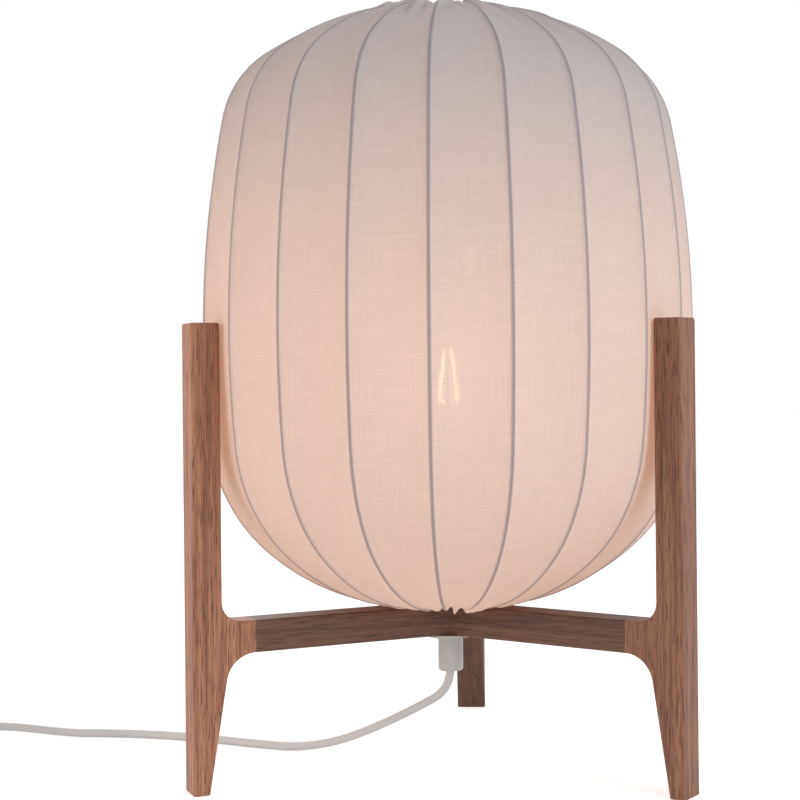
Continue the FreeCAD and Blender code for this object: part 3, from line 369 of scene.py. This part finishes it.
class LAMP_OT_cage(bpy.types.Operator):
    """Finish the ribs, rings, collar and arms of the shade"""
    bl_idname = "lamp.cage"
    bl_label = "Shade cage"

    def execute(self, context):
        # powder-coated steel wire: pale and even, with a grit of half a millimetre that spreads the shine
        paint, tree, shader = material("powder_coated_steel", "#c9c9cb", 0.5)
        place = add(tree, "ShaderNodeTexCoord")
        grit = add(tree, "ShaderNodeTexNoise", {"Vector": place.outputs["Object"], "Scale": 1800.0})
        bump = add(tree, "ShaderNodeBump", {"Height": grit.outputs["Fac"], "Strength": 0.2, "Distance": 0.0001})
        tree.links.new(bump.outputs[0], shader.inputs["Normal"])
        paint_nodes(paint, "shade_cage", "shade_collar", "shade_arms")
        return {"FINISHED"}


# ---------------------------------------------------------------- bulb and lampholder
class LAMP_OT_bulb(bpy.types.Operator):
    """Light the bulb's filaments and finish its glass, stem and screw cap"""
    bl_idname = "lamp.bulb"
    bl_label = "Bulb"

    def execute(self, context):
        look = context.scene.lamp_cloth
        # clear blown glass: smooth, thin and sharp in its shine
        glass, tree, shader = material("blown_glass", "#ffffff", 0.02, ior=1.45)
        shader.inputs["Transmission Weight"].default_value = 1.0
        paint_nodes(glass, "bulb_glass", "bulb_stem")
        # sticks cast in yellow phosphor: an even, warm glow that shows through the cloth
        sticks, tree, shader = material("phosphor_sticks", "#ffd9a0", 0.6)
        shader.inputs["Emission Color"].default_value = colour("#ffe3a8")
        shader.inputs["Emission Strength"].default_value = 30.0
        sticks.cycles.emission_sampling = "NONE"
        paint_nodes(sticks, "bulb_filaments")
        # nickel-plated brass, rolled to a thread: a bright shine broken into rings
        nickel, tree, shader = material("rolled_nickel_cap", "#c9c6c0", 0.28, metallic=1.0)
        place = add(tree, "ShaderNodeTexCoord")
        # rings 7.3 mm apart, twice the pitch of the real thread so that they show
        thread = add(tree, "ShaderNodeTexWave", {"Vector": place.outputs["Object"], "Scale": 43.0},
                     wave_type="BANDS", bands_direction="Z")
        bump = add(tree, "ShaderNodeBump", {"Height": thread.outputs["Fac"], "Strength": 0.8,
                                            "Distance": 0.0008})
        tree.links.new(bump.outputs[0], shader.inputs["Normal"])
        paint_nodes(nickel, "bulb_cap", "bulb_contact")
        # black glass, poured: a dark, wet shine
        ring, _, _ = material("black_glass_insulator", "#101010", 0.2)
        paint_nodes(ring, "bulb_insulator")
        # the light stands for the sticks, so that nothing of the bulb may shade it
        for name in ("bulb_glass", "bulb_stem", "bulb_filaments"):
            NODES[name].visible_shadow = False
        lamp = bpy.data.lights.new("bulb_light", "POINT")
        lamp.energy, lamp.color, lamp.shadow_soft_size = look.bulb_watts, (1.0, 0.72, 0.47), 0.02
        made = bpy.data.objects.new("bulb_light", lamp)
        made.location = HUB + Vector((0, 0, 0.25))
        made.visible_camera = made.visible_transmission = False
        bpy.context.collection.objects.link(made)
        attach(made, "bulb")
        return {"FINISHED"}


def moulded(name, code, rough=0.38):
    """Moulded plastic: smooth and half matt, with the mould's faint orange peel 1.4 mm apart."""
    made, tree, shader = material(name, code, rough)
    place = add(tree, "ShaderNodeTexCoord")
    peel = add(tree, "ShaderNodeTexNoise", {"Vector": place.outputs["Object"], "Scale": 700.0, "Detail": 2.0})
    bump = add(tree, "ShaderNodeBump", {"Height": peel.outputs["Fac"], "Strength": 0.15, "Distance": 0.0001})
    tree.links.new(bump.outputs[0], shader.inputs["Normal"])
    return made


def plated(name, code, rough):
    """Plated or drawn metal: bright, with a gloss that varies over 2.5 mm as the tool left it."""
    made, tree, shader = material(name, code, rough, metallic=1.0)
    place = add(tree, "ShaderNodeTexCoord")
    rings = add(tree, "ShaderNodeTexNoise", {"Vector": place.outputs["Object"], "Scale": 400.0, "Detail": 2.0})
    tone = add(tree, "ShaderNodeMapRange", {"Value": rings.outputs["Fac"], "To Min": rough * 0.8,
                                            "To Max": rough * 1.3})
    tree.links.new(tone.outputs[0], shader.inputs["Roughness"])
    return made


class LAMP_OT_holder(bpy.types.Operator):
    """Finish the lampholder in white plastic with a brass socket"""
    bl_idname = "lamp.holder"
    bl_label = "Lampholder"

    def execute(self, context):
        paint_nodes(moulded("moulded_white_holder", "#e4e3e0"), "holder_cap", "holder_sleeve", "contact_block",
                    "ring_nut")
        paint_nodes(plated("pressed_brass", "#c9a55c", 0.3), "socket_liner", "centre_contact")
        return {"FINISHED"}


class LAMP_OT_hub(bpy.types.Operator):
    """Finish the disc, cord grip, tube, plate, nuts and screws of the hub"""
    bl_idname = "lamp.hub"
    bl_label = "Hub fittings"

    def execute(self, context):
        # painted shade: the white disc and cord grip are given a greyer white than the other plastics, for the
        # shade they stand in under the lamp
        paint_nodes(moulded("moulded_white_hub_in_painted_shade", "#cfcecb"), "hub_disc", "cord_grip")
        paint_nodes(plated("zinc_plated_steel", "#b9bbbd", 0.34), "hub_plate", "hub_washer", "hub_nut",
                    "holder_nut", "threaded_tube", "plate_screws", "grip_screw")
        return {"FINISHED"}


# ---------------------------------------------------------------- flex, switch and plug
# the flex's points in mm from the hub's axis and the floor
TO_SWITCH = [
    (0, 0, 64), (0, 0, 53.5), (-6.0, 0.9, 42.3), (-19.6, 3.2, 34.6), (-38.5, 6.5, 24.6), (-58.5, 10.9, 15.2),
    (-79, 15.2, 7.4), (-104.5, 20.8, 2.75), (-132, 29.5, 2.75), (-158, 39.8, 2.75), (-184, 48.6, 2.75),
    (-212, 55.4, 2.75), (-242, 58.4, 2.75), (-268, 57.6, 2.95), (-290, 55.6, 5.6), (-310, 54, 8), (-326, 54, 8),
]
TO_COIL = [
    (-388, 54, 8), (-401, 54, 8), (-413.6, 49.0, 6.2), (-423.2, 39.4, 4.2), (-428.3, 26.8, 3.0),
    (-430.2, 9.5, 2.75), (-429.4, -4.0, 2.75),
]
TO_PLUG = [
    (-429.4, -34.0, 8.75), (-430.2, -49.5, 6.6), (-425.0, -62.6, 5.0), (-415.2, -72.6, 5.2),
    (-402.4, -78.2, 6.85), (-389.4, -78.2, 6.85),
]


def coil_spots(per_turn=24):
    """The coil: in along the floor, up half a turn at its core, and out on top."""
    turns, step, outer, climb_high = 2.75, 6.1, 40.0, 6.0
    spots = []
    for i in range(round((2 * turns + 0.5) * per_turn) + 1):
        turn = i / per_turn
        climb = min(max((turn - turns) / 0.5, 0.0), 1.0)
        radius = outer - step * min(turn, turns) + step * max(turn - turns - 0.5, 0.0)
        radius -= (1 - math.cos(2 * math.pi * climb)) / 2
        angle = math.pi + 2 * math.pi * turn
        spots.append((-429.4 + outer + radius * math.cos(angle), -14 + radius * math.sin(angle),
                      2.75 + climb_high * (1 - math.cos(math.pi * climb)) / 2))
    return spots


def flex_curve(name, route, paint):
    """A round flex along the route, drawn as a NURBS curve."""
    data = bpy.data.curves.new(name, "CURVE")
    data.dimensions, data.bevel_depth, data.bevel_resolution = "3D", 2.75 * MM, 6
    data.resolution_u, data.use_fill_caps = 8, True
    spline = data.splines.new("NURBS")
    spline.points.add(len(route) - 1)
    for point, spot in zip(spline.points, route):
        point.co = (*(Vector(spot) * MM + HUB), 1.0)
    spline.order_u = 3
    spline.use_endpoint_u = True
    data.materials.append(paint)
    made = bpy.data.objects.new(name, data)
    bpy.context.collection.objects.link(made)
    return made


class LAMP_OT_flex(bpy.types.Operator):
    """Lay the flex from the hub to the switch, through the coil and to the plug"""
    bl_idname = "lamp.flex"
    bl_label = "Flex"

    def execute(self, context):
        # extruded PVC: soft white with a low shine
        sheath = moulded("extruded_pvc_sheath", "#dededd", 0.42)
        first = flex_curve("flex_to_switch", TO_SWITCH, sheath)
        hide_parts("cord_to_switch")
        second = flex_curve("flex_to_plug", TO_COIL + coil_spots() + TO_PLUG, sheath)
        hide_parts("cord_to_coil", "cord_coil", "cord_to_plug")
        for piece in (first, second):
            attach(piece, "lamp")
        return {"FINISHED"}


class LAMP_OT_switch(bpy.types.Operator):
    """Finish the inline switch"""
    bl_idname = "lamp.switch"
    bl_label = "Inline switch"

    def execute(self, context):
        paint_nodes(moulded("moulded_white_switch", "#dfdfdd"), "switch_base", "switch_cover")
        paint_nodes(moulded("moulded_white_rocker", "#ecebe8", 0.3), "switch_rocker")
        return {"FINISHED"}


class LAMP_OT_plug(bpy.types.Operator):
    """Finish the moulded plug and its pins"""
    bl_idname = "lamp.plug"
    bl_label = "Plug"

    def execute(self, context):
        paint_nodes(moulded("moulded_white_plug", "#dcdcda", 0.45), "plug_body", "plug_relief")
        paint_nodes(plated("nickel_plated_pins", "#cfccc6", 0.22), "plug_pins")
        return {"FINISHED"}


# ---------------------------------------------------------------- stage
# cool daylight from the right, the warmer room at the left and a plain light behind:
# name, place, size in metres, share of the key's power, tint
LIGHTS = [
    ("key", (1.5, -1.1, 0.9), 0.8, 1.0, (0.90, 0.97, 1.0)),
    ("fill", (-1.7, -0.8, 0.6), 1.2, 0.85, (1.0, 0.78, 0.66)),
    ("rear", (-0.6, 1.7, 1.2), 1.2, 0.8, (1.0, 1.0, 1.0)),
]
AIM = Vector((0, 0, 0.25))
FORWARD = Vector((-0.0661, 0.9978, 0)).normalized()
ROLL = 0.0094
FLOOR_REACH = 12.0


def seen_rays(tree):
    """1 for rays from the camera, off gloss and through glass, and 0 for the light that they gather."""
    path = add(tree, "ShaderNodeLightPath")
    seen = add(tree, "ShaderNodeMath", {0: path.outputs["Is Camera Ray"], 1: path.outputs["Is Glossy Ray"]},
               operation="ADD", use_clamp=True)
    every = add(tree, "ShaderNodeMath", {0: seen.outputs[0], 1: path.outputs["Is Transmission Ray"]},
                operation="ADD", use_clamp=True)
    return every.outputs[0]


class LAMP_OT_stage(bpy.types.Operator):
    """Set up the floor, the surround, the lights and the camera"""
    bl_idname = "lamp.stage"
    bl_label = "Floor, lights and camera"

    def execute(self, context):
        scene, look = context.scene, context.scene.lamp_stage
        # matt paper: even white, lifted so that it clips to white wherever the lamp doesn't shade it
        paper, tree, shader = material("matt_paper", "#f4f4f4", 0.9)
        lift = add(tree, "ShaderNodeMath", {0: seen_rays(tree), 1: 0.52}, operation="MULTIPLY")
        shader.inputs["Emission Color"].default_value = (1, 1, 1, 1)
        tree.links.new(lift.outputs[0], shader.inputs["Emission Strength"])
        corners = [(x * FLOOR_REACH, y * FLOOR_REACH, 0) for x, y in ((-1, -1), (1, -1), (1, 1), (-1, 1))]
        mesh_piece("floor", corners, [(0, 1, 2, 3)], paper)

        scene.world = bpy.data.worlds.new("surround")
        scene.world.use_nodes = True
        tree = scene.world.node_tree
        back = tree.nodes["Background"]
        power = add(tree, "ShaderNodeMix", {0: seen_rays(tree), 2: look.world, 3: 1.0}, data_type="FLOAT")
        back.inputs["Color"].default_value = (1, 1, 1, 1)
        tree.links.new(power.outputs[0], back.inputs["Strength"])

        for name, place, size, share, tint in LIGHTS:
            lamp = bpy.data.lights.new(name, "AREA")
            lamp.shape, lamp.size, lamp.energy, lamp.color = "SQUARE", size, look.key * share, tint
            made = bpy.data.objects.new(name, lamp)
            made.location = place
            made.rotation_euler = (AIM - made.location).to_track_quat("-Z", "Y").to_euler()
            made.visible_camera = False
            bpy.context.collection.objects.link(made)

        lens = bpy.data.cameras.new("camera")
        lens.sensor_width, lens.lens = 36.0, look.lens
        lens.shift_x, lens.shift_y = look.shift
        camera = bpy.data.objects.new("camera", lens)
        right, level = Vector((FORWARD.y, -FORWARD.x, 0)), Vector((0, 0, 1))
        up = level * math.cos(ROLL) + right * math.sin(ROLL)
        side = right * math.cos(ROLL) - level * math.sin(ROLL)
        turn = Matrix((side, up, -FORWARD)).transposed().to_4x4()
        camera.matrix_world = Matrix.Translation(look.place) @ turn
        bpy.context.collection.objects.link(camera)
        scene.camera = camera
        scene.view_settings.view_transform = "Standard"
        return {"FINISHED"}


class LAMP_PT_panel(bpy.types.Panel):
    """The lamp's settings and the steps that dress it"""
    bl_idname = "LAMP_PT_panel"
    bl_label = "Tripod table lamp"
    bl_space_type = "VIEW_3D"
    bl_region_type = "UI"
    bl_category = "Lamp"

    def draw(self, context):
        for group in ("lamp_wood", "lamp_cloth", "lamp_stage"):
            look = getattr(context.scene, group)
            for name in look.__annotations__:
                self.layout.prop(look, name)
        for operator in STEPS:
            self.layout.operator(operator.bl_idname)


STEPS = (LAMP_OT_frame, LAMP_OT_cover, LAMP_OT_cage, LAMP_OT_bulb, LAMP_OT_holder, LAMP_OT_hub, LAMP_OT_flex,
         LAMP_OT_switch, LAMP_OT_plug, LAMP_OT_stage)
GROUPS = {"lamp_wood": LampWood, "lamp_cloth": LampCloth, "lamp_stage": LampStage}


def register():
    for kind in (*GROUPS.values(), *STEPS, LAMP_PT_panel):
        bpy.utils.register_class(kind)
    for name, kind in GROUPS.items():
        setattr(bpy.types.Scene, name, PointerProperty(type=kind))


def unregister():
    for name in GROUPS:
        delattr(bpy.types.Scene, name)
    for kind in (LAMP_PT_panel, *STEPS[::-1], *GROUPS.values()):
        bpy.utils.unregister_class(kind)


def main():
    register()
    for operator in STEPS:
        group, name = operator.bl_idname.split(".")
        getattr(getattr(bpy.ops, group), name)()


if __name__ == "__main__":
    main()
